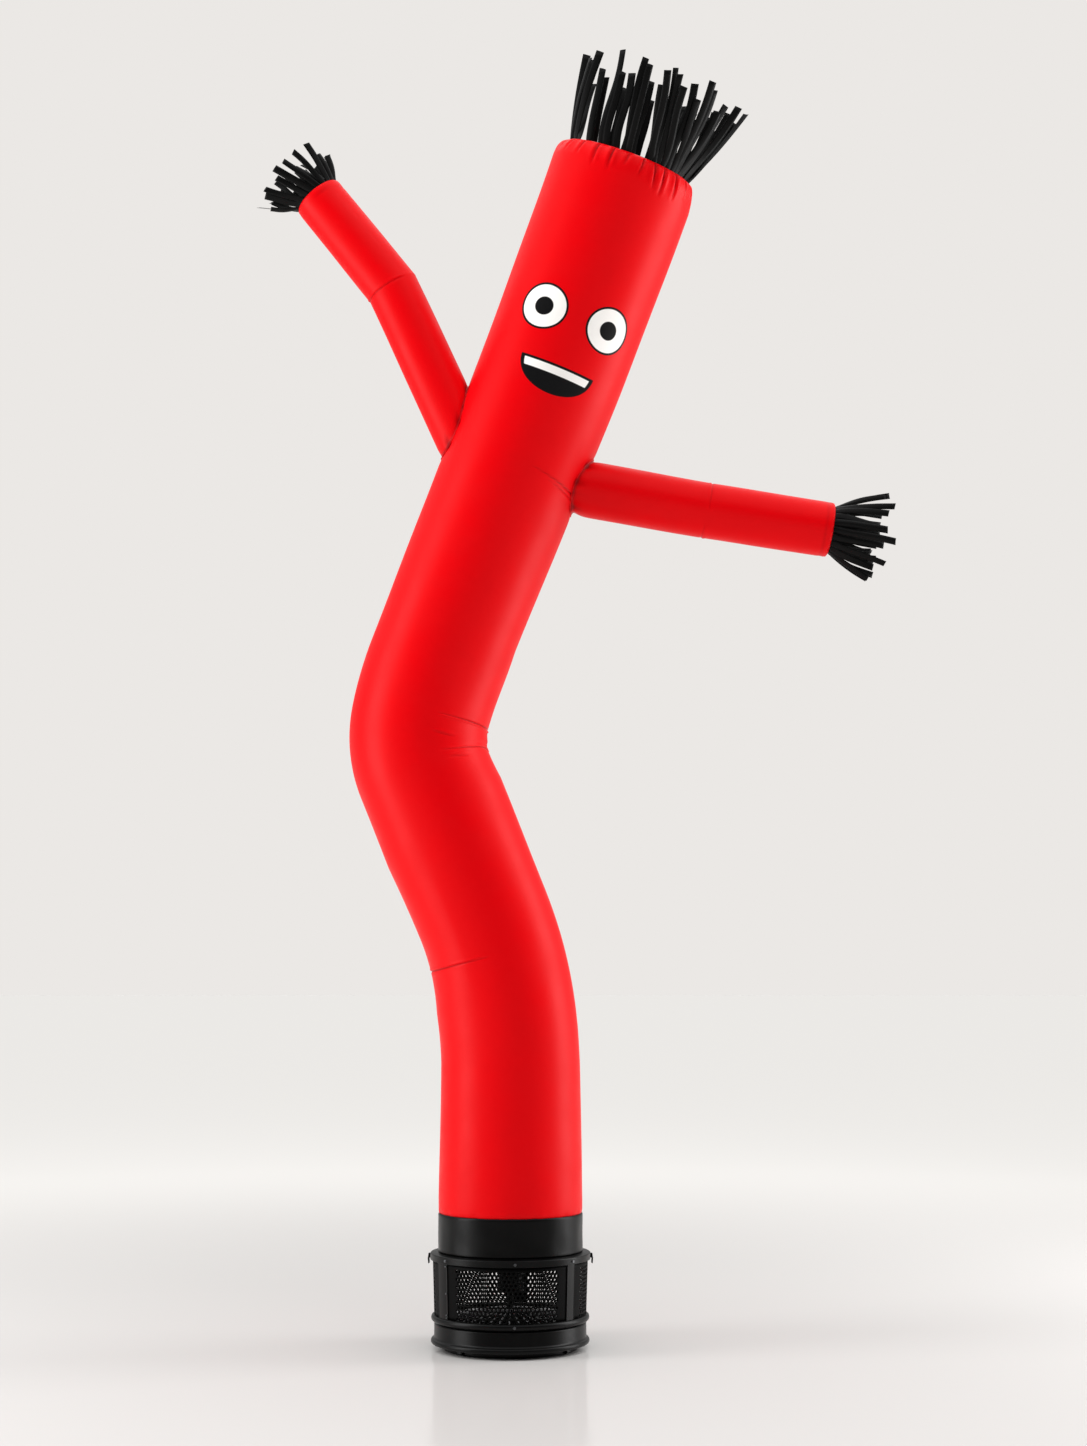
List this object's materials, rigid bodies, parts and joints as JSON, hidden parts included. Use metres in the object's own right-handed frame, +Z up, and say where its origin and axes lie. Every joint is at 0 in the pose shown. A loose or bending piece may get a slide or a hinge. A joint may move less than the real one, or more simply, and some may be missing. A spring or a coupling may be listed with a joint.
{
  "type": "inflatable air dancer on a floor blower",
  "caption": "Inflatable air dancer: a bent cloth tube figure with raised arms and black ribbon fringes, standing on the round floor blower that keeps it up.",
  "frame": {"origin": "middle of the blower's flat underside, on the floor", "axes": "+Z up, the figure faces -Y, its raised bent arm is on the -X side and its straight arm on the +X side"},
  "size_m": [1.483, 0.5245, 2.9443],
  "materials": {
    "red_cloth": "coated nylon, satin",
    "black_cloth": "coated nylon, satin",
    "black_ribbon": "thin nylon ribbon, soft sheen",
    "powder_coat": "satin black powder coat",
    "screw_metal": "black oxide"
  },
  "bodies": {
    "root": {"arm_left": "red_cloth", "arm_right": "red_cloth", "base_cuff": "black_cloth", "base_drum": "powder_coat", "base_plinth": "powder_coat", "body_tube": "red_cloth", "clip_back": "powder_coat", "clip_left": "powder_coat", "clip_right": "powder_coat", "guard_post_back": "powder_coat", "guard_post_left": "powder_coat", "guard_post_right": "powder_coat", "guard_rim": "powder_coat", "hand_fringe_left": "black_ribbon", "hand_fringe_right": "black_ribbon", "head_fringe": "black_ribbon", "hook_left": "powder_coat", "hook_right": "powder_coat", "intake_cone": "powder_coat", "intake_guard": "powder_coat", "motor": "powder_coat", "outlet_ring": "powder_coat", "screw_rim_back": "screw_metal", "screw_rim_front": "screw_metal", "screw_ring_back": "screw_metal", "screw_ring_front": "screw_metal", "screw_ring_left": "screw_metal", "screw_ring_right": "screw_metal"}
  },
  "joints": []
}
